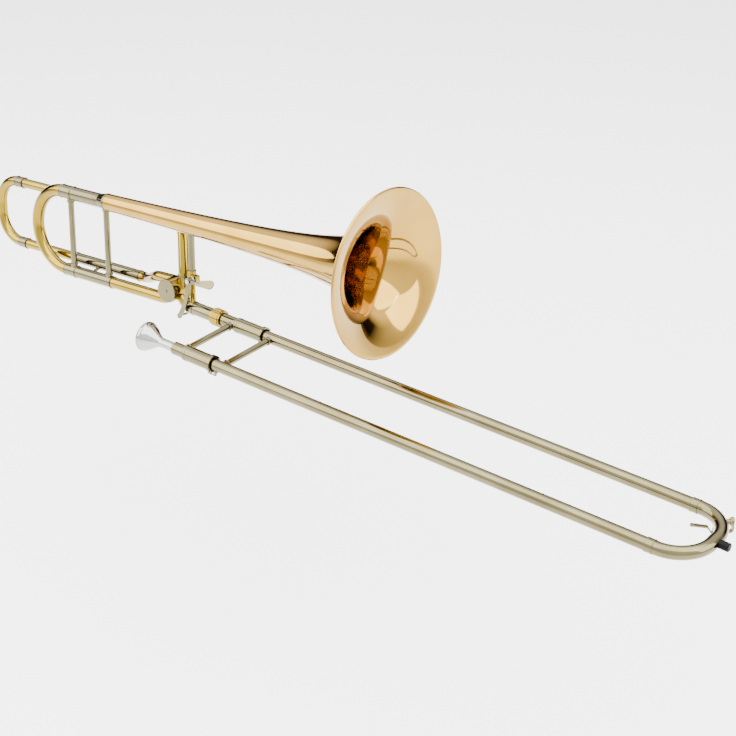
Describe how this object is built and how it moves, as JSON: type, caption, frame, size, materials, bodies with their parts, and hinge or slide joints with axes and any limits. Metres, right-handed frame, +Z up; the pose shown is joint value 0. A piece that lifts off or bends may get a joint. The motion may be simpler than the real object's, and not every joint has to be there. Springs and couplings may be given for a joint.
{
  "type": "trombone",
  "caption": "Tenor trombone with an open-wrap F attachment, rotary valve, thumb lever, hand slide, tuning slides and a wide flared bell.",
  "frame": {"origin": "middle of the inner slide brace, where the left hand holds the instrument", "axes": "+X forward along the hand slide, +Y from the mouthpiece side to the bell side, +Z up from the slide to the bell"},
  "size_m": [1.2713, 0.24, 0.2791],
  "materials": {
    "yellow_brass": "polished, clear lacquer",
    "gold_brass": "polished gold brass, clear lacquer",
    "nickel_silver": "polished nickel silver, clear lacquer",
    "chromed_brass": "hard chrome on drawn brass",
    "silver_plate": "bright silver plate on brass",
    "steel": "bright steel",
    "rubber": "matt black rubber",
    "cork": "cut cork",
    "felt": "black felt"
  },
  "bodies": {
    "inner_slide": {"mouthpiece_receiver": "nickel_silver", "leadpipe": "nickel_silver", "inner_tube_mouthpiece": "chromed_brass", "inner_tube_bell": "chromed_brass", "cork_barrels": "nickel_silver", "barrel_end_ring": "nickel_silver", "barrel_felts": "felt", "slide_stop_corks": "cork", "inner_brace": "nickel_silver", "slide_joint_sleeve": "nickel_silver", "bell_receiver": "nickel_silver", "pipe_ferrules": "nickel_silver", "neckpipe": "yellow_brass", "valve_casing": "yellow_brass", "valve_cap": "nickel_silver", "bearing_plates": "nickel_silver", "stop_bumpers": "rubber", "lower_leg": "yellow_brass", "lower_sleeve": "nickel_silver", "upper_sleeve": "nickel_silver", "rear_brace": "nickel_silver", "bell_flare": "gold_brass", "bell_stem": "gold_brass", "rim_wire": "yellow_brass", "bell_brace_post": "nickel_silver", "bell_brace_foot": "yellow_brass", "lever_stud": "steel", "lever_spring": "steel", "f_neck": "yellow_brass", "f_sleeves": "nickel_silver", "f_downtube": "yellow_brass", "f_leg_stays": "nickel_silver"},
    "hand_slide": {"outer_tube_mouthpiece": "nickel_silver", "outer_tube_bell": "nickel_silver", "outer_brace": "nickel_silver", "bow_ferrules": "nickel_silver", "slide_bow": "nickel_silver", "bumper_stud": "nickel_silver", "rubber_bumper": "rubber", "water_key_saddle": "nickel_silver", "water_key_pin": "steel", "water_key_spring": "steel", "slide_lock_catch": "nickel_silver"},
    "water_key": {"water_key": "nickel_silver", "water_key_pad": "cork"},
    "main_tuning_slide": {"main_crook": "yellow_brass", "main_crook_ferrules": "nickel_silver", "main_inner_legs": "yellow_brass", "main_slide_brace": "nickel_silver"},
    "f_tuning_slide": {"f_crook": "yellow_brass", "f_crook_ferrules": "nickel_silver", "f_inner_legs": "yellow_brass"},
    "thumb_lever": {"thumb_lever": "nickel_silver"},
    "valve_link": {"valve_link": "nickel_silver"},
    "rotor": {"valve_rotor": "yellow_brass", "stop_arm": "nickel_silver", "stop_arm_screw": "steel"},
    "lock_nut": {"bell_lock_nut": "yellow_brass"},
    "mouthpiece": {"mouthpiece": "silver_plate"},
    "slide_lock": {"slide_lock_ring": "nickel_silver"}
  },
  "joints": [
    {"name": "hand_slide_travel", "type": "slide", "parent": "inner_slide", "child": "hand_slide", "axis": [1, 0, 0], "range_m": [0, 0.59]},
    {"name": "water_key_hinge", "type": "hinge", "parent": "hand_slide", "child": "water_key", "pos_m": [0.73092, 0.03502, -0.013], "axis": [-0.7071, 0.7071, 0], "range_deg": [0, 12], "stiffness_Nm_per_rad": 0.1, "springref_deg": -20.05, "deforming": ["water_key_spring"]},
    {"name": "main_tuning_travel", "type": "slide", "parent": "inner_slide", "child": "main_tuning_slide", "axis": [-0.9969, 0, -0.079], "range_m": [0, 0.05]},
    {"name": "f_tuning_travel", "type": "slide", "parent": "inner_slide", "child": "f_tuning_slide", "axis": [-0.9969, 0, -0.079], "range_m": [0, 0.075]},
    {"name": "mouthpiece_travel", "type": "slide", "parent": "inner_slide", "child": "mouthpiece", "axis": [-1, 0, 0], "range_m": [0, 0.03]},
    {"name": "lock_nut_turn", "type": "hinge", "parent": "inner_slide", "child": "lock_nut", "pos_m": [-0.028, 0.0491, 0], "axis": [1, 0, 0], "range_deg": [0, 720]},
    {"name": "slide_lock_turn", "type": "hinge", "parent": "inner_slide", "child": "slide_lock", "pos_m": [0.0535, -0.0491, 0], "axis": [1, 0, 0], "range_deg": [0, 30]},
    {"name": "thumb_lever_hinge", "type": "hinge", "parent": "inner_slide", "child": "thumb_lever", "pos_m": [-0.07384, 0.04188, 0.04345], "axis": [0.0093, 0.9931, -0.117], "range_deg": [0, 11.19], "stiffness_Nm_per_rad": 0.4, "springref_deg": -20.05, "deforming": ["lever_spring"]},
    {"name": "rotor_turn", "type": "hinge", "parent": "inner_slide", "child": "rotor", "pos_m": [-0.10872, 0.0514, 0.01895], "axis": [0.0093, 0.9931, -0.117], "range_deg": [0, 90.1]},
    {"name": "link_hinge", "type": "hinge", "parent": "thumb_lever", "child": "valve_link", "pos_m": [-0.08781, 0.06826, -0.01452], "axis": [0.0093, 0.9931, -0.117], "range_deg": [-14.7, 0]}
  ],
  "couplings": [
    {"joint": "rotor_turn", "follows": "thumb_lever_hinge", "ratio": 8.0429},
    {"joint": "link_hinge", "follows": "thumb_lever_hinge", "ratio": -1.3014}
  ]
}
